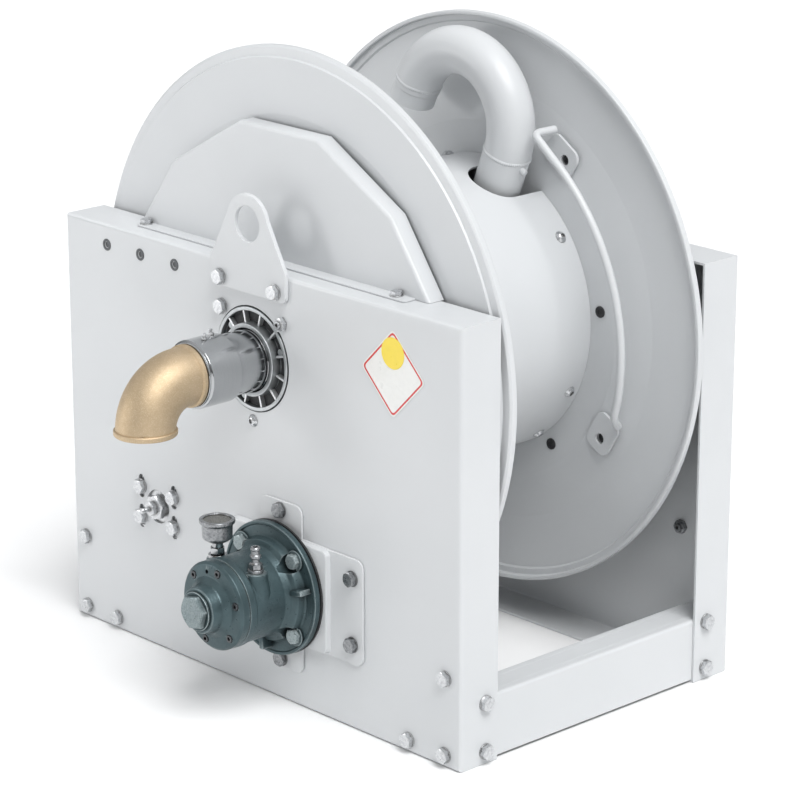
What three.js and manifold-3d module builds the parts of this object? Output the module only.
// A motor-driven hose reel for a fire vehicle or a workshop wall.
//
// An open drum with two pressed discs turns on a hollow shaft between two sheet-metal panels.
// Water enters a brass elbow at the front, passes a swivel sleeve and the hollow shaft, and
// leaves by a goose-neck pipe that rises through the drum. A vane motor on the front panel
// turns the reel through a roller chain, and a second toothed wheel on a slotted plate keeps
// the chain tight.
//
// Millimetres, +Z up, +Y from the front panel to the rear panel, X across the panels.
// Depths below are counted from the front face of the front panel. The whole group is then
// moved so that the origin is under the middle of the bounding box, on the ground.

import * as THREE from 'three';
import { mergeVertices } from 'three/addons/utils/BufferGeometryUtils.js';
import Module from 'manifold-3d';

const wasm = await Module();
wasm.setup();

// ---- driving dimensions -------------------------------------------------------------------

const GAP = 0.3; // between pieces that touch
const RUN = 0.5; // radial clearance of turning pieces

const PANEL = { width: 720, height: 540, sheet: 3, flange: 62 };
const DEPTH = 468; // front face of the front panel to rear face of the rear panel
const AXLE_Z = 426;

const BEAM = { width: 50, height: 79, sheet: 3 };

const DISC = {
  bore: 38.5,
  flatRadius: 232,
  stepRadius: 287,
  rimRadius: 356,
  lipRadius: 370,
  flatDepth: 76,
  stepDepth: 69.2,
  rimDepth: 66.5,
  rimFall: 2.5,
  lipDepth: 80,
  lipThickness: 6,
  sheet: 2.5,
};
const DRUM = { radius: 190, sheet: 3, cutRadius: 37, cutDepth: 344 };

const SHAFT = { radius: 38, bore: 27, front: -50.7, rear: 464, plug: 40, spigot: 34, spigotFront: -77.5 };
const HUB = {
  ring: 64.5,
  rim: 5,
  proud: 2,
  neck: 45,
  neckProud: 8,
  floor: 6.4,
  barrel: 62,
  barrelRear: 32,
  flange: 92,
  flangeThickness: 6,
  boltCircle: 78,
  webs: 12,
  webHalf: 1.5,
  running: 1.5,
};
const HUB_HOLE = 66; // radius of the hole in each panel
const BEARING = { outer: 54.7, near: 12, far: 30, groove: 3 };

const SLEEVE = { radius: 42, bevel: 3, front: -100, rear: -51.2, socket: 35, socketFloor: -86 };
const ELBOW = {
  outer: 36,
  bore: 29,
  bead: 38.2,
  beadWidth: 6,
  bend: 54,
  front: -100.3,
  reach: -166.6,
  mouthZ: 368,
};

const PIPE = { outer: 30.15, bore: 26.5, depth: 348, lean: THREE.MathUtils.degToRad(21.15) };
const PIPE_BEND = { radius: 86, turn: THREE.MathUtils.degToRad(176), start: 227, nipple: 28 };

const ROD = { radius: 5, circle: 273, nearDepth: 345, farDepth: 364, rearDepth: 385, lead: 0.26, tail: 0.06 };
const ROD_BRACKET = { inner: 232, outer: 272, half: 26, corner: 12, sheet: 4, hole: 6.5, holeAside: -8 };
const ROD_TOP = THREE.MathUtils.degToRad(47); // angles from +X, seen from the front
const ROD_END = THREE.MathUtils.degToRad(-21);

const PITCH = 15.875; // roller chain
const TEETH = { drive: 88, small: 13 };
const CHAIN = { depth: 57.5, halfWidth: 8.5, plateHalf: 7.5, plateInner: 4 };
const TOOTH = { half: 3, tip: 4.2, root: 5 };
const DRIVE_BOSS = 56; // radius of the drive wheel's boss against the disc

const MOTOR = { x: 52, z: 152, hole: 26 };
const MOTOR_SHAFT = { radius: 9.5, front: -96, rear: 68 };
const MOTOR_FACE = -10.5; // raised face of the motor bracket
const IDLER = { x: -187.3, z: 190, hole: 22 };
const TENSION_BOLT = { dx: 32, dz: 20 };
const SLOT = { halfWidth: 5.5, length: 31 };

const M10 = { head: 9.8, height: 6.4, washer: 10, washerThickness: 1.6, shank: 5, hole: 5.5 };

const REAR_REACH = DEPTH + HUB.neckProud;
const FRONT_REACH = ELBOW.reach - ELBOW.bead;
const ORIGIN_Y = (REAR_REACH + FRONT_REACH) / 2;

// ---- finishes -----------------------------------------------------------------------------

function finish(colour, roughness, metalness) {
  return () => new THREE.MeshStandardMaterial({ color: colour, roughness, metalness });
}

const paint = finish(0xd6d8da, 0.42, 0.0);
const brass = finish(0xb99a63, 0.38, 0.9);
const steel = finish(0x9aa0a4, 0.3, 0.95);
const zinc = finish(0xc3c6c8, 0.35, 0.9);
const castAluminium = finish(0xa9adaf, 0.5, 0.85);
const motorPaint = finish(0x5c7478, 0.45, 0.35);
const blackSteel = finish(0x3b3d3f, 0.5, 0.7);
const rubber = finish(0x26282a, 0.85, 0.0);
const labelFilm = finish(0xf2f2ee, 0.4, 0.0);

// ---- solids -------------------------------------------------------------------------------

// Signed volume of an indexed triangle mesh: negative when its faces point inwards.
function signedVolume(points, index) {
  let volume = 0;
  for (let i = 0; i < index.length; i += 3) {
    const [a, b, c] = [0, 1, 2].map((k) => new THREE.Vector3().fromArray(points, 3 * index[i + k]));
    volume += a.dot(b.cross(c)) / 6;
  }
  return volume;
}

// A closed three.js geometry as a solid, with its faces turned outwards.
function solid(geometry) {
  const bare = geometry.clone();
  bare.deleteAttribute('normal');
  bare.deleteAttribute('uv');
  const merged = mergeVertices(bare, 1e-3);
  const points = merged.attributes.position.array;
  const kept = [];
  const index = merged.index.array;
  for (let i = 0; i < index.length; i += 3) {
    const [a, b, c] = index.slice(i, i + 3);
    if (a !== b && b !== c && c !== a) kept.push(a, b, c);
  }
  if (signedVolume(points, kept) < 0) kept.reverse();
  return new wasm.Manifold(
    new wasm.Mesh({ numProp: 3, vertProperties: new Float32Array(points), triVerts: new Uint32Array(kept) }),
  );
}

function union(...solids) {
  return solids.reduce((sum, next) => sum.add(next));
}

function cut(body, ...tools) {
  return tools.reduce((rest, tool) => rest.subtract(tool), body);
}

function meshGeometry(body) {
  const { vertProperties, triVerts } = body.getMesh();
  const indexed = new THREE.BufferGeometry();
  indexed.setAttribute('position', new THREE.BufferAttribute(new Float32Array(vertProperties), 3));
  indexed.setIndex(new THREE.BufferAttribute(new Uint32Array(triVerts), 1));
  const geometry = indexed.toNonIndexed();
  geometry.computeVertexNormals();
  return geometry;
}

function box(x0, x1, y0, y1, z0, z1) {
  const geometry = new THREE.BoxGeometry(x1 - x0, y1 - y0, z1 - z0);
  geometry.translate((x0 + x1) / 2, (y0 + y1) / 2, (z0 + z1) / 2);
  return solid(geometry);
}

// A cylinder whose axis runs along Y.
function rod(radius, y0, y1, sides = 24, x = 0, z = 0) {
  const geometry = new THREE.CylinderGeometry(radius, radius, y1 - y0, sides);
  geometry.translate(x, (y0 + y1) / 2, z);
  return solid(geometry);
}

// A cylinder whose axis runs along Z.
function post(radius, z0, z1, sides = 24, x = 0, y = 0) {
  const geometry = new THREE.CylinderGeometry(radius, radius, z1 - z0, sides);
  geometry.rotateX(Math.PI / 2);
  geometry.translate(x, y, (z0 + z1) / 2);
  return solid(geometry);
}

// A ring turned about Y from its [radius, depth] corners.
function turned(corners, sides = 24) {
  const profile = [...corners, corners[0]].map(([r, y]) => new THREE.Vector2(r, y));
  return solid(new THREE.LatheGeometry(profile, sides));
}

function ring(outer, inner, y0, y1, sides = 24) {
  return turned([[inner, y0], [outer, y0], [outer, y1], [inner, y1]], sides);
}

// A flat plate whose outline is drawn in X and Z, from depth y0 to y1.
function plate(shape, y0, y1, curveSegments = 8) {
  const geometry = new THREE.ExtrudeGeometry(shape, { depth: y1 - y0, bevelEnabled: false, curveSegments });
  geometry.rotateX(Math.PI / 2);
  geometry.translate(0, y1, 0);
  return solid(geometry);
}

function polygon(points) {
  return new THREE.Shape(points.map(([x, z]) => new THREE.Vector2(x, z)));
}

function circle(radius) {
  const shape = new THREE.Shape();
  shape.absarc(0, 0, radius, 0, 2 * Math.PI, false);
  return shape;
}

function roundedRectangle(x0, x1, z0, z1, radius) {
  const quarter = Math.PI / 2;
  const shape = new THREE.Shape();
  shape.absarc(x1 - radius, z1 - radius, radius, 0, quarter, false);
  shape.absarc(x0 + radius, z1 - radius, radius, quarter, 2 * quarter, false);
  shape.absarc(x0 + radius, z0 + radius, radius, 2 * quarter, 3 * quarter, false);
  shape.absarc(x1 - radius, z0 + radius, radius, 3 * quarter, 4 * quarter, false);
  return shape;
}

// An arc in the plane spanned by two unit vectors.
class ArcCurve extends THREE.Curve {
  constructor(centre, radius, u, v, from, to) {
    super();
    Object.assign(this, { centre, radius, u, v, from, to });
  }
  getPoint(t, target = new THREE.Vector3()) {
    const angle = this.from + (this.to - this.from) * t;
    target.copy(this.centre);
    target.addScaledVector(this.u, this.radius * Math.cos(angle));
    return target.addScaledVector(this.v, this.radius * Math.sin(angle));
  }
}

// A round bar, or with a bore a pipe, along a path.
function swept(path, radius, bore, steps, sides) {
  const section = new THREE.Shape();
  section.absarc(0, 0, radius, 0, 2 * Math.PI, false);
  if (bore > 0) section.holes.push(circle(bore));
  const geometry = new THREE.ExtrudeGeometry(section, {
    extrudePath: path,
    steps,
    bevelEnabled: false,
    curveSegments: sides / 2,
  });
  return solid(geometry);
}

function add(group, name, body, material) {
  const mesh = new THREE.Mesh(meshGeometry(body), material());
  mesh.name = name;
  group.add(mesh);
}

function groupAt(parent, x, y, z) {
  const group = new THREE.Group();
  group.position.set(x, y, z);
  parent.add(group);
  return group;
}

// A hexagon bolt seen from the front: head, washer and shank, from the face it clamps backwards.
function hexBolt(face, grip, size = M10) {
  const seat = face - GAP;
  const head = rod(size.head, seat - size.washerThickness - size.height, seat - size.washerThickness, 6);
  const washer = rod(size.washer, seat - size.washerThickness - 0.01, seat, 8);
  const shank = rod(size.shank, seat - 0.01, seat + grip, 6);
  return union(head, washer, shank);
}

// The piece turned end for end, for the rear half of a symmetrical pair.
function mirrored(body) {
  return body.mirror([0, 1, 0]).translate([0, DEPTH, 0]);
}

// ---- frame --------------------------------------------------------------------------------

const LABEL = { x: 248, z: 462, side: 76, thickness: 0.4 }; // a square standing on one corner
const LUG_BOLT = { dx: 50, z: 520.5 };
const HUB_BOLT_ANGLES = [135, 45, 270].map(THREE.MathUtils.degToRad);
const CHAIN_CUT = { halfWidth: 250, front: 46 }; // where the chain passes the panel's top flange
const BRACKET = {
  halfWidth: 90,
  halfHeight: 67.5,
  tabHalf: 38,
  tabReach: 108,
  sideReach: 146,
  sheet: 3,
  corner: 12,
  bore: 24,
};
const BRACKET_BOLTS = [[0, 96], [0, -96], [128, 42], [128, -42]];

function hubBoltPlaces() {
  return HUB_BOLT_ANGLES.map((a) => [HUB.boltCircle * Math.cos(a), AXLE_Z + HUB.boltCircle * Math.sin(a)]);
}

// One panel: a pan with a flange along all four sides.
function pan() {
  const half = PANEL.width / 2;
  const { sheet, flange, height } = PANEL;
  const shell = box(-half, half, 0, flange, 0, height);
  return cut(shell, box(-half + sheet, half - sheet, sheet, flange + 1, sheet, height - sheet));
}

function slotShape(x, z) {
  const reach = SLOT.length / 2 - SLOT.halfWidth;
  const shape = new THREE.Shape();
  shape.absarc(x, z + reach, SLOT.halfWidth, 0, Math.PI, false);
  shape.absarc(x, z - reach, SLOT.halfWidth, Math.PI, 2 * Math.PI, false);
  return shape;
}

function tensionBoltPlaces() {
  const { dx, dz } = TENSION_BOLT;
  return [[-dx, dz], [dx, dz], [-dx, -dz], [dx, -dz]];
}

function frontPanel() {
  const back = PANEL.sheet + 1;
  const holes = [rod(HUB_HOLE, -1, back, 24, 0, AXLE_Z)];
  holes.push(rod(MOTOR.hole, -1, back, 16, MOTOR.x, MOTOR.z));
  holes.push(rod(IDLER.hole, -1, back, 16, IDLER.x, IDLER.z));
  for (const [x, z] of tensionBoltPlaces()) {
    holes.push(plate(slotShape(IDLER.x + x, IDLER.z + z), -1, back, 2));
  }
  const boltHoles = hubBoltPlaces();
  boltHoles.push([-LUG_BOLT.dx, LUG_BOLT.z], [LUG_BOLT.dx, LUG_BOLT.z]);
  for (const [x, z] of BRACKET_BOLTS) boltHoles.push([MOTOR.x + x, MOTOR.z + z]);
  for (const [x, z] of boltHoles) holes.push(rod(M10.hole, -1, back, 8, x, z));
  const { halfWidth, front } = CHAIN_CUT;
  const top = PANEL.height;
  const chainCut = box(-halfWidth, halfWidth, front, PANEL.flange + 1, top - PANEL.sheet - 1, top + 1);
  return cut(pan(), chainCut, ...holes);
}

function rearPanel() {
  return mirrored(cut(pan(), rod(HUB_HOLE, -1, PANEL.sheet + 1, 24, 0, AXLE_Z)));
}

// A channel that stands between the two panels, open underneath, with an end plate at each end.
function beam() {
  const inset = PANEL.sheet + GAP;
  const { width, height, sheet } = BEAM;
  const outer = box(0, width, inset, DEPTH - inset, inset, inset + height);
  return cut(
    outer,
    box(sheet, width - sheet, inset + sheet, DEPTH - inset - sheet, 0, inset + height - sheet),
  );
}

const LUG = {
  thickness: 6,
  eyeZ: 594,
  eyeRadius: 22,
  headRadius: 37,
  halfWidth: 68,
  footZ: 508,
  shoulderZ: 545,
  corner: 8,
  slope: THREE.MathUtils.degToRad(14),
};

function lugShape() {
  const { eyeZ, headRadius, halfWidth, footZ, shoulderZ, corner, slope } = LUG;
  const shape = new THREE.Shape();
  shape.absarc(0, eyeZ, headRadius, slope, Math.PI - slope, false);
  shape.lineTo(-halfWidth, shoulderZ);
  shape.absarc(-halfWidth + corner, footZ + corner, corner, Math.PI, 1.5 * Math.PI, false);
  shape.absarc(halfWidth - corner, footZ + corner, corner, 1.5 * Math.PI, 2 * Math.PI, false);
  shape.lineTo(halfWidth, shoulderZ);
  return shape;
}

function lug() {
  const front = -GAP - LUG.thickness;
  const tools = [rod(LUG.eyeRadius, front - 1, 1, 20, 0, LUG.eyeZ)];
  for (const side of [-1, 1]) tools.push(rod(M10.hole, front - 1, 1, 8, side * LUG_BOLT.dx, LUG_BOLT.z));
  return cut(plate(lugShape(), front, -GAP, 5), ...tools);
}

const GUARD = { front: 43, rear: 67, sheet: 2, flapFront: 24, flapLeft: -248, flapRight: 240 };
const GUARD_OUTLINE = [[262, 0], [197, 90], [70, 160.5]]; // half width and height above the panel top

// The hood over the chain: half an octagon, open below and behind, with a flap to screw it down.
function guardCover() {
  const { front, rear, sheet, flapFront, flapLeft, flapRight } = GUARD;
  const foot = PANEL.height + GAP;
  const outline = (inset) => {
    const right = GUARD_OUTLINE.map(([x, z]) => [x - inset, foot + z - inset]);
    const left = [...right].reverse().map(([x, z]) => [-x, z]);
    return polygon([...right, ...left]);
  };
  const hood = plate(outline(0), front, rear);
  const hollow = plate(outline(sheet), front + sheet, rear + 1);
  const flap = box(flapLeft, flapRight, flapFront, front + sheet, foot, foot + sheet);
  return union(cut(hood, hollow), flap);
}

// Cast housing: a flange behind the panel, a ring through it and a neck round the shaft.
function hubCasting(webs) {
  const back = PANEL.sheet + GAP;
  const { ring: outer, rim, proud, neck, neckProud, floor, barrel, barrelRear, flange } = HUB;
  const flangeBack = back + HUB.flangeThickness;
  const seat = BEARING.outer + GAP;
  const bore = SHAFT.radius + HUB.running;
  const housing = turned([
    [barrel, back],
    [barrel, barrelRear],
    [seat, barrelRear],
    [seat, BEARING.near - GAP],
    [bore, BEARING.near - GAP],
    [bore, -neckProud],
    [neck, -neckProud],
    [neck, floor],
    [outer - rim, floor],
    [outer - rim, -proud],
    [outer, -proud],
    [outer, back],
  ]);
  let body = union(housing, ring(flange, barrel - 2, back, flangeBack));
  for (let i = 0; i < webs; i += 1) {
    const web = box(neck - 1, outer - rim + 1, GAP, floor + 1, -HUB.webHalf, HUB.webHalf);
    body = body.add(web.rotate([0, (360 * (i + 0.5)) / webs, 0]));
  }
  const drills = HUB_BOLT_ANGLES.map((a) =>
    rod(M10.hole, back - 1, flangeBack + 1, 8, HUB.boltCircle * Math.cos(a), HUB.boltCircle * Math.sin(a)),
  );
  return cut(body, ...drills).translate([0, 0, AXLE_Z]);
}

// Ball bearing as one ring, with the groove between its two races on the outer face.
function bearing() {
  const { outer, near, far, groove } = BEARING;
  const inner = SHAFT.radius + RUN;
  const middle = (outer + inner) / 2;
  const corners = [
    [inner, near],
    [middle - groove, near],
    [middle - groove, near + groove],
    [middle + groove, near + groove],
    [middle + groove, near],
    [outer, near],
    [outer, far],
    [inner, far],
  ];
  return turned(corners).translate([0, 0, AXLE_Z]);
}

function labelPlate() {
  const half = LABEL.side / Math.SQRT2;
  const diamond = polygon([[half, 0], [0, half], [-half, 0], [0, -half]]);
  return plate(diamond, -GAP - LABEL.thickness, -GAP).translate([LABEL.x, 0, LABEL.z]);
}

function buildFrame(root) {
  add(root, 'front_panel', frontPanel(), paint);
  add(root, 'rear_panel', rearPanel(), paint);
  const beamX = PANEL.width / 2 - PANEL.sheet - GAP;
  add(root, 'left_beam', beam().translate([-beamX, 0, 0]), paint);
  add(root, 'right_beam', beam().translate([beamX - BEAM.width, 0, 0]), paint);
  add(root, 'front_lug', lug(), paint);
  add(root, 'rear_lug', mirrored(lug()), paint);
  add(root, 'guard_cover', guardCover(), paint);
  add(root, 'front_hub', hubCasting(HUB.webs), castAluminium);
  add(root, 'rear_hub', mirrored(hubCasting(0)), castAluminium);
  add(root, 'front_bearing', bearing(), steel);
  add(root, 'rear_bearing', mirrored(bearing()), steel);
  add(root, 'label_plate', labelPlate(), labelFilm);
  const lugFace = -GAP - LUG.thickness;
  for (const [i, side] of [-1, 1].entries()) {
    const bolt = hexBolt(lugFace, 14).translate([side * LUG_BOLT.dx, 0, LUG_BOLT.z]);
    add(root, `lug_bolt_${i + 1}`, bolt, zinc);
  }
  for (const [i, [x, z]] of hubBoltPlaces().entries()) {
    add(root, `hub_bolt_${i + 1}`, hexBolt(0, 14).translate([x, 0, z]), zinc);
  }
}

// ---- motor --------------------------------------------------------------------------------

const FLANGE = { radius: 84, gasket: 2.5, thickness: 9.5, bolt: 48, bore: 24, seat: 13 };
const BARREL = { radius: 54, front: -100, bore: 44, floor: -38 };
const COVER = { front: -114, bossFront: -136, bossRadius: 30 };
const PLUG = { collar: 24, collarDepth: 3, hex: 22, front: -146 };
const PORT = { dx: 35, y: -74, top: 43, radius: 13, bore: 6, floor: 10 };
const SILENCER = { base: PORT.top + 22, radius: 22, wall: 3.5, height: 28, mesh: 1.5 };

// Pressed bracket: a raised square with a tab above, one below and a full-height tab on the right.
function motorBracket() {
  const { halfWidth, halfHeight, tabHalf, tabReach, sideReach, sheet, corner, bore } = BRACKET;
  const tabFront = -GAP - sheet;
  const tab = (left, right, dz) =>
    plate(roundedRectangle(left, right, -dz, dz, corner), tabFront, -GAP, 2);
  const raised = box(-halfWidth, halfWidth, MOTOR_FACE, -GAP, -halfHeight, halfHeight);
  const under = box(
    -halfWidth + sheet,
    halfWidth - sheet,
    MOTOR_FACE + sheet,
    1,
    -halfHeight + sheet,
    halfHeight - sheet,
  );
  const tools = BRACKET_BOLTS.map(([x, z]) => rod(M10.hole, MOTOR_FACE - 1, 1, 8, x, z));
  tools.push(rod(bore, MOTOR_FACE - 1, 1, 16));
  for (const [x, z] of motorBoltPlaces()) tools.push(rod(M10.hole, MOTOR_FACE - 1, 1, 8, x, z));
  const side = tab(-halfWidth + corner, sideReach, halfHeight);
  return cut(union(side, tab(-tabHalf, tabHalf, tabReach), raised), under, ...tools);
}

function motorBoltPlaces() {
  const d = FLANGE.bolt;
  return [[-d, d], [d, d], [-d, -d], [d, -d]];
}

function motorGasket() {
  const front = MOTOR_FACE - GAP - FLANGE.gasket;
  const tools = motorBoltPlaces().map(([x, z]) => rod(M10.hole, front - 1, MOTOR_FACE, 8, x, z));
  return cut(ring(FLANGE.radius, FLANGE.bore, front, MOTOR_FACE - GAP), ...tools);
}

// Mounting flange, a stepped neck and the barrel with its chamber and two port bosses on top.
function motorBody() {
  const back = MOTOR_FACE - FLANGE.gasket - 2 * GAP;
  const face = back - FLANGE.thickness;
  const bore = MOTOR_SHAFT.radius + RUN;
  const shell = turned([
    [bore, back],
    [FLANGE.radius, back],
    [FLANGE.radius, face],
    [BARREL.radius + 12, face - 3],
    [BARREL.radius + 4, face - 12],
    [BARREL.radius, face - 16],
    [BARREL.radius, BARREL.front],
    [bore, BARREL.front],
  ]);
  const onPorts = (radius, z0, z1, sides) =>
    [-1, 1].map((side) => post(radius, z0, z1, sides, side * PORT.dx, PORT.y));
  const bosses = onPorts(PORT.radius, 0, PORT.top, 16);
  const drills = onPorts(PORT.bore, PORT.floor, PORT.top + 1, 8);
  const spots = onPorts(PORT.radius + 1, PORT.top, BARREL.radius + 1, 16);
  const chamber = rod(BARREL.bore, BARREL.front - 1, BARREL.floor, 24);
  const bolts = motorBoltPlaces().map(([x, z]) => rod(M10.hole, face - 9, back + 1, 8, x, z));
  const seats = motorBoltPlaces().map(([x, z]) => rod(FLANGE.seat, face - 30, face, 8, x, z));
  return cut(union(shell, ...bosses), chamber, ...spots, ...drills, ...seats, ...bolts);
}

function motorCover() {
  const { front, bossFront, bossRadius } = COVER;
  return turned([
    [0, bossFront],
    [bossRadius, bossFront],
    [bossRadius + 1, front - 5],
    [bossRadius + 7, front],
    [BARREL.radius, front],
    [BARREL.radius, BARREL.front - GAP],
    [0, BARREL.front - GAP],
  ]);
}

function motorPlug() {
  const back = COVER.bossFront - GAP;
  return union(rod(PLUG.collar, back - PLUG.collarDepth, back, 24), rod(PLUG.hex, PLUG.front, back - 1, 6));
}

// An open cup that widens upwards from a rounded foot.
function silencerCup() {
  const { base, radius, wall, height } = SILENCER;
  return turned([
    [0, base],
    [radius - 5, base],
    [radius - 1, base + 8],
    [radius, base + height],
    [radius - wall, base + height],
    [radius - wall, base + wall],
    [0, base + wall],
  ], 20).rotate([90, 0, 0]);
}

function silencerMesh() {
  const { base, radius, wall, height, mesh } = SILENCER;
  const top = base + height - 2 * mesh;
  return rod(radius - wall - GAP, top - mesh, top, 20).rotate([90, 0, 0]);
}

function silencerNeck() {
  const base = PORT.top + GAP;
  const collar = 5;
  return union(post(11.5, base, base + collar, 12), post(8, base + collar - 0.01, SILENCER.base - GAP, 6));
}

// A hose nipple: a round foot, a hexagon's width of plain barrel and a tail with one ridge.
function airNipple() {
  const base = PORT.top + GAP;
  return turned([
    [3, base],
    [10, base],
    [10, base + 4],
    [7.5, base + 4],
    [7.5, base + 12],
    [6, base + 12],
    [6, base + 18],
    [7, base + 19],
    [7, base + 22],
    [5.5, base + 24],
    [5.5, base + 32],
    [3, base + 32],
  ], 12).rotate([90, 0, 0]);
}

function buildMotor(root) {
  const group = groupAt(root, MOTOR.x, 0, MOTOR.z);
  add(group, 'motor_bracket', motorBracket(), paint);
  add(group, 'motor_gasket', motorGasket(), rubber);
  add(group, 'motor_body', motorBody(), motorPaint);
  add(group, 'motor_cover', motorCover(), motorPaint);
  add(group, 'motor_plug', motorPlug(), motorPaint);
  const silencer = groupAt(group, -PORT.dx, PORT.y, 0);
  add(silencer, 'silencer_neck', silencerNeck(), steel);
  add(silencer, 'silencer_cup', silencerCup(), zinc);
  add(silencer, 'silencer_mesh', silencerMesh(), blackSteel);
  const inlet = groupAt(group, PORT.dx, PORT.y, 0);
  add(inlet, 'air_nipple', airNipple(), steel);
  for (const [i, [x, z]] of BRACKET_BOLTS.entries()) {
    const bolt = hexBolt(-GAP - BRACKET.sheet, 10).translate([x, 0, z]);
    add(group, `bracket_bolt_${i + 1}`, bolt, zinc);
  }
  const seat = MOTOR_FACE - FLANGE.gasket - 2 * GAP - FLANGE.thickness;
  for (const [i, [x, z]] of motorBoltPlaces().entries()) {
    add(group, `motor_bolt_${i + 1}`, hexBolt(seat, 18).translate([x, 0, z]), blackSteel);
  }
}

// ---- chain drive --------------------------------------------------------------------------

function pitchRadius(teeth) {
  return PITCH / (2 * Math.sin(Math.PI / teeth));
}

// A toothed wheel about its own centre: each tooth is a pointed tip and a pointed root.
function sprocketShape(teeth) {
  const radius = pitchRadius(teeth);
  const step = (2 * Math.PI) / teeth;
  const corners = [[0, TOOTH.tip], [0.5, -TOOTH.root]];
  const points = [];
  for (let i = 0; i < teeth; i += 1) {
    for (const [part, rise] of corners) {
      const angle = Math.PI / 2 + step * (i + part);
      points.push([(radius + rise) * Math.cos(angle), (radius + rise) * Math.sin(angle)]);
    }
  }
  return polygon(points);
}

function toothed(teeth) {
  return plate(sprocketShape(teeth), CHAIN.depth - TOOTH.half, CHAIN.depth + TOOTH.half);
}

// The large wheel: a plain toothed plate with a boss that reaches back to the front disc.
function driveSprocket() {
  const bore = SHAFT.radius + GAP;
  const boss = ring(DRIVE_BOSS, bore, CHAIN.depth - TOOTH.half, DISC.flatDepth - GAP);
  return cut(union(toothed(TEETH.drive), boss), rod(bore, 0, DISC.flatDepth, 24));
}

function smallSprocket(bore, hubRadius, hubFront, hubRear) {
  const hub = rod(hubRadius, hubFront, hubRear, 16);
  return cut(union(toothed(TEETH.small), hub), rod(bore, hubFront - 1, hubRear + 1, 16));
}

// The line of a belt round wheels given as {x, z, radius}, in counter-clockwise order.
function beltShape(wheels, offset) {
  const count = wheels.length;
  const normals = wheels.map((a, i) => {
    const b = wheels[(i + 1) % count];
    const [dx, dz] = [b.x - a.x, b.z - a.z];
    const length = Math.hypot(dx, dz);
    const along = (a.radius - b.radius) / length;
    const across = Math.sqrt(1 - along * along);
    const nx = (dx * along + dz * across) / length;
    const nz = (dz * along - dx * across) / length;
    return Math.atan2(nz, nx);
  });
  const shape = new THREE.Shape();
  wheels.forEach((wheel, i) => {
    const from = normals[(i + count - 1) % count];
    shape.absarc(wheel.x, wheel.z, wheel.radius + offset, from, normals[i], false);
  });
  return shape;
}

// The closed chain as a channel round the tooth tips: two rows of side plates and their back.
function chainLoop() {
  const small = pitchRadius(TEETH.small);
  const wheels = [
    { x: 0, z: AXLE_Z, radius: pitchRadius(TEETH.drive) },
    { x: IDLER.x, z: IDLER.z, radius: small },
    { x: MOTOR.x, z: MOTOR.z, radius: small },
  ];
  const { depth, halfWidth, plateHalf, plateInner } = CHAIN;
  const segments = 8;
  const outline = (offset, reach) => plate(beltShape(wheels, offset), depth - reach, depth + reach, segments);
  const whole = outline(plateHalf, halfWidth);
  const inside = outline(-plateHalf, halfWidth + 1);
  const groove = outline(TOOTH.tip + 2, plateInner);
  return cut(whole, inside, groove);
}

function motorShaft() {
  return rod(MOTOR_SHAFT.radius, MOTOR_SHAFT.front, MOTOR_SHAFT.rear, 16);
}

// The rotor, with four vanes that stand out of it.
function motorRotor() {
  const front = BARREL.front + 4;
  const rear = BARREL.floor - 4;
  const core = ring(30, MOTOR_SHAFT.radius + GAP, front, rear, 16);
  const vanes = [0, 45, 90, 135].map((angle) => box(-41, 41, front, rear, -2, 2).rotate([0, angle, 0]));
  return cut(union(core, ...vanes), rod(MOTOR_SHAFT.radius + GAP, front - 1, rear + 1, 16));
}

function buildMotorDrive(root) {
  const group = groupAt(root, MOTOR.x, 0, MOTOR.z);
  add(group, 'motor_shaft', motorShaft(), steel);
  add(group, 'motor_rotor', motorRotor(), blackSteel);
  add(group, 'motor_sprocket', smallSprocket(MOTOR_SHAFT.radius + GAP, 20, 40, 60.5), blackSteel);
}

// ---- chain tensioner ----------------------------------------------------------------------

const TENSION_PLATE = {
  halfWidth: 46,
  halfHeight: 34,
  corner: 8,
  front: 3.4,
  rear: 11.4,
  boss: 13,
  bossFront: -0.5,
};
const TENSION_SHAFT = { radius: 8, rear: 66, head: 17, headFront: -8, nut: 9, nutFront: -15 };
const GREASE_NIPPLE = { stem: 3.2, tip: 4.4, front: -28 };

function tensionerPlate() {
  const { halfWidth, halfHeight, corner, front, rear, boss, bossFront } = TENSION_PLATE;
  const outline = roundedRectangle(-halfWidth, halfWidth, -halfHeight, halfHeight, corner);
  const slab = plate(outline, front, rear, 2);
  const tools = tensionBoltPlaces().map(([x, z]) => rod(M10.hole, front - 1, rear + 1, 8, x, z));
  tools.push(rod(TENSION_SHAFT.radius + GAP, bossFront - 1, rear + 1, 16));
  return cut(union(slab, rod(boss, bossFront, front + 1, 16)), ...tools);
}

// The fixed axle of the tension wheel: hexagon head, lock nut and grease nipple in one line.
function tensionerShaft() {
  const { radius, rear, head, headFront, nut, nutFront } = TENSION_SHAFT;
  const { stem, tip, front } = GREASE_NIPPLE;
  return union(
    rod(radius, TENSION_PLATE.bossFront - 1, rear, 16),
    rod(head, headFront, TENSION_PLATE.bossFront - GAP, 6),
    rod(nut, nutFront, headFront + 1, 6),
    rod(stem, front, nutFront + 1, 10),
    rod(tip, front + 2, front + 6, 10),
  );
}

function buildTensioner(root) {
  const group = groupAt(root, IDLER.x, 0, IDLER.z);
  add(group, 'tensioner_plate', tensionerPlate(), zinc);
  add(group, 'tensioner_shaft', tensionerShaft(), zinc);
  for (const [i, [x, z]] of tensionBoltPlaces().entries()) {
    add(group, `tensioner_bolt_${i + 1}`, hexBolt(0, 15).translate([x, 0, z]), zinc);
  }
  add(group, 'idler_sprocket', smallSprocket(TENSION_SHAFT.radius + RUN, 18, 46, 65), blackSteel);
}

// ---- reel ---------------------------------------------------------------------------------

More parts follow.
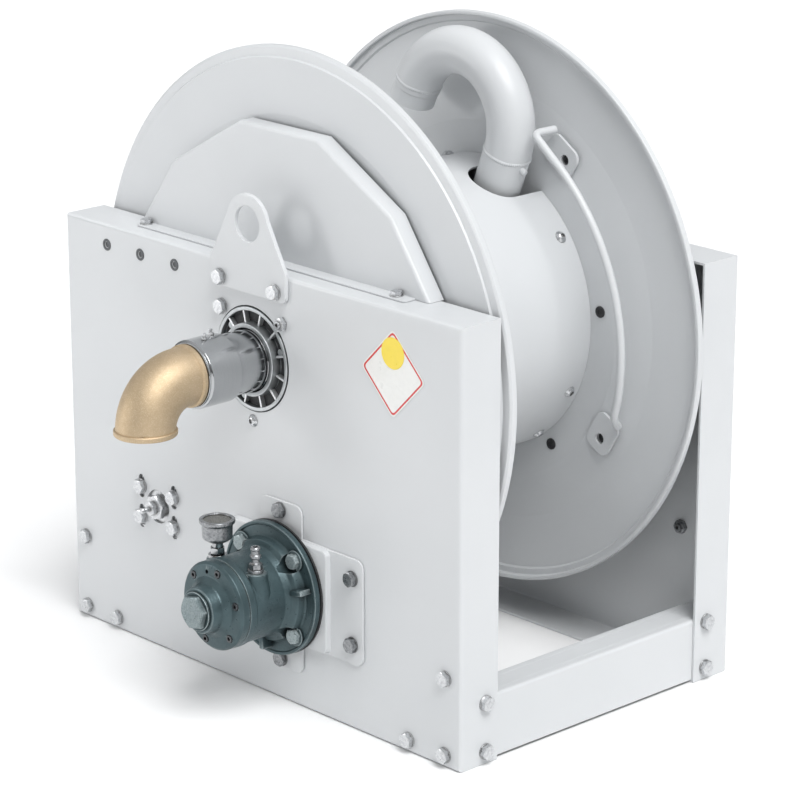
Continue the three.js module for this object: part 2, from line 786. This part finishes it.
// One pressed disc: flat middle, dished field, a flat rim and a narrow lip turned back at the edge.
function disc() {
  const t = DISC.sheet;
  const lipFront = DISC.rimDepth + DISC.rimFall;
  const outside = [
    [DISC.flatRadius, DISC.flatDepth],
    [DISC.stepRadius, DISC.stepDepth],
    [DISC.rimRadius, DISC.rimDepth],
    [DISC.lipRadius - DISC.rimFall, lipFront],
    [DISC.lipRadius, lipFront + DISC.rimFall],
    [DISC.lipRadius, DISC.lipDepth],
  ];
  const inside = [
    [DISC.lipRadius - DISC.lipThickness, DISC.lipDepth],
    [DISC.lipRadius - DISC.lipThickness, lipFront + t],
    [DISC.rimRadius - 1, DISC.rimDepth + t],
    [DISC.stepRadius, DISC.stepDepth + t],
    [DISC.flatRadius, DISC.flatDepth + t],
    [DISC.bore, DISC.flatDepth + t],
  ];
  return turned([[DISC.bore, DISC.flatDepth], ...outside, ...inside], 40);
}

function drumShell() {
  const near = DISC.flatDepth + DISC.sheet + GAP;
  const far = DEPTH - near;
  const shell = ring(DRUM.radius, DRUM.radius - DRUM.sheet, near, far, 48);
  const { radius, cutRadius, cutDepth } = DRUM;
  const hole = post(cutRadius, radius / 2, radius + 1, 20, 0, cutDepth);
  const mouth = box(-cutRadius, cutRadius, cutDepth, far + 1, radius / 2, radius + 1);
  return cut(shell, union(hole, mouth).rotate([0, THREE.MathUtils.radToDeg(PIPE.lean), 0]));
}

// The hollow shaft: a spigot at its open front end, closed at the rear, a port under the riser.
function reelShaft() {
  const { radius, bore, front, rear, spigot, spigotFront, plug } = SHAFT;
  const tube = turned([
    [bore, spigotFront],
    [spigot, spigotFront],
    [spigot, front],
    [radius, front],
    [radius, rear],
    [0, rear],
    [0, rear - plug],
    [bore, rear - plug],
  ]);
  const port = post(PIPE.bore - 2, 0, radius + 5, 16, 0, PIPE.depth);
  return cut(tube, port.rotate([0, THREE.MathUtils.radToDeg(PIPE.lean), 0]));
}

// The directions along the riser and across it, and the points where its bend starts and ends.
function pipeRoute() {
  const up = new THREE.Vector3(Math.sin(PIPE.lean), 0, Math.cos(PIPE.lean));
  const away = new THREE.Vector3(up.z, 0, -up.x);
  const axle = new THREE.Vector3(0, PIPE.depth, 0);
  const start = axle.clone().addScaledVector(up, PIPE_BEND.start);
  const centre = start.clone().addScaledVector(away, -PIPE_BEND.radius);
  return { up, away, axle, start, centre };
}

// The straight pipe that is welded into the shaft.
function riserPipe() {
  const { up, axle, start } = pipeRoute();
  const bottom = axle.clone().addScaledVector(up, SHAFT.radius / 2);
  const top = start.clone().addScaledVector(up, -GAP);
  const pipe = swept(new THREE.LineCurve3(bottom, top), PIPE.outer, PIPE.bore, 1, 20);
  return cut(pipe, rod(SHAFT.radius + GAP, 0, DEPTH, 24));
}

// The long bend on the riser, back towards the drum, and a short open nipple.
function gooseNeck() {
  const { up, away, start, centre } = pipeRoute();
  const bend = new ArcCurve(centre, PIPE_BEND.radius, away, up, 0, PIPE_BEND.turn);
  const end = bend.getPoint(1);
  const heading = up.clone().multiplyScalar(Math.cos(PIPE_BEND.turn));
  heading.addScaledVector(away, -Math.sin(PIPE_BEND.turn));
  const mouth = end.clone().addScaledVector(heading, PIPE_BEND.nipple);
  const path = new THREE.CurvePath();
  path.add(bend);
  path.add(new THREE.LineCurve3(end, mouth));
  return swept(path, PIPE.outer, PIPE.bore, 16, 14);
}

// The bar that keeps the hose on the drum, from its upper bracket round to the lower one.
function retainingRod() {
  const first = ROD_TOP + ROD.lead;
  const out = (angle, reach, depth) =>
    new THREE.Vector3(reach * Math.cos(angle), depth, reach * Math.sin(angle));
  const endDepth = ROD.rearDepth - ROD.radius - 1;
  const points = [out(first, ROD.circle + 4, endDepth), out(first, ROD.circle + 4, ROD.nearDepth)];
  const steps = 12;
  for (let i = 1; i <= steps; i += 1) {
    const t = i / steps;
    const angle = THREE.MathUtils.lerp(first, ROD_END, t);
    points.push(out(angle, ROD.circle, THREE.MathUtils.lerp(ROD.nearDepth, ROD.farDepth, t * t)));
  }
  points.push(out(ROD_END - ROD.tail, ROD.circle - 2, endDepth));
  const path = new THREE.CatmullRomCurve3(points, false, 'centripetal');
  return swept(path, ROD.radius, 0, 36, 6);
}

// A rounded tab against the rear disc that the rod is welded to.
function rodBracket(degrees) {
  const { inner, outer, half, corner, sheet, hole, holeAside } = ROD_BRACKET;
  const face = ROD.rearDepth;
  const tab = plate(roundedRectangle(inner, outer, -half, half, corner), face, face + sheet, 2);
  const drill = rod(hole, face - 1, face + sheet + 1, 8, (inner + outer) / 2, holeAside);
  return cut(tab, drill).rotate([0, -degrees, 0]);
}

function buildReel(root) {
  const group = groupAt(root, 0, 0, AXLE_Z);
  add(group, 'front_disc', disc(), paint);
  add(group, 'rear_disc', mirrored(disc()), paint);
  add(group, 'drum_shell', drumShell(), paint);
  add(group, 'reel_shaft', reelShaft(), steel);
  add(group, 'drive_sprocket', driveSprocket(), blackSteel);
  add(group, 'riser_pipe', riserPipe(), paint);
  add(group, 'goose_neck', gooseNeck(), paint);
  add(group, 'retaining_rod', retainingRod(), paint);
  add(group, 'rod_bracket_upper', rodBracket(57), paint);
  add(group, 'rod_bracket_lower', rodBracket(-31), paint);
}

// ---- water inlet --------------------------------------------------------------------------

function swivelSleeve() {
  const { radius, bevel, front, rear, socket, socketFloor } = SLEEVE;
  return turned([
    [ELBOW.bore, front],
    [radius - bevel, front],
    [radius, front + bevel],
    [radius, rear],
    [socket, rear],
    [socket, socketFloor],
    [ELBOW.bore, socketFloor],
  ]);
}

function swivelSeal() {
  return ring(SLEEVE.socket - GAP, SHAFT.bore + 1, SLEEVE.socketFloor + GAP, SHAFT.spigotFront - GAP);
}

// The elbow: a bead at each end, a quarter bend from the shaft's line down to its mouth.
function brassElbow() {
  const { outer, bore, bead, beadWidth, bend, front, reach } = ELBOW;
  const drop = ELBOW.mouthZ - AXLE_Z;
  const forward = new THREE.Vector3(0, -1, 0);
  const down = new THREE.Vector3(0, 0, -1);
  const start = new THREE.Vector3(0, reach + bend, 0);
  const centre = new THREE.Vector3(0, reach + bend, -bend);
  const path = new THREE.CurvePath();
  path.add(new THREE.LineCurve3(new THREE.Vector3(0, front, 0), start));
  path.add(new ArcCurve(centre, bend, down.clone().negate(), forward, 0, Math.PI / 2));
  path.add(new THREE.LineCurve3(new THREE.Vector3(0, reach, -bend), new THREE.Vector3(0, reach, drop)));
  const pipe = swept(path, outer, bore, 9, 16);
  const inletBead = ring(bead, outer - 2, front - beadWidth, front, 16);
  const outletBead = cut(
    post(bead, drop, drop + beadWidth, 16, 0, reach),
    post(outer - 2, drop - 1, drop + beadWidth + 1, 16, 0, reach),
  );
  return union(pipe, inletBead, outletBead);
}

function buildInlet(root) {
  const group = groupAt(root, 0, 0, AXLE_Z);
  add(group, 'swivel_sleeve', swivelSleeve(), steel);
  add(group, 'swivel_seal', swivelSeal(), rubber);
  add(group, 'brass_elbow', brassElbow(), brass);
}

// ---- assembly -----------------------------------------------------------------------------

const hoseReel = new THREE.Group();
hoseReel.name = 'hose_reel';
const model = groupAt(hoseReel, 0, -ORIGIN_Y, 0);
buildFrame(model);
buildMotor(model);
add(model, 'chain', chainLoop(), blackSteel);
buildMotorDrive(model);
buildTensioner(model);
buildReel(model);
buildInlet(model);

export default hoseReel;
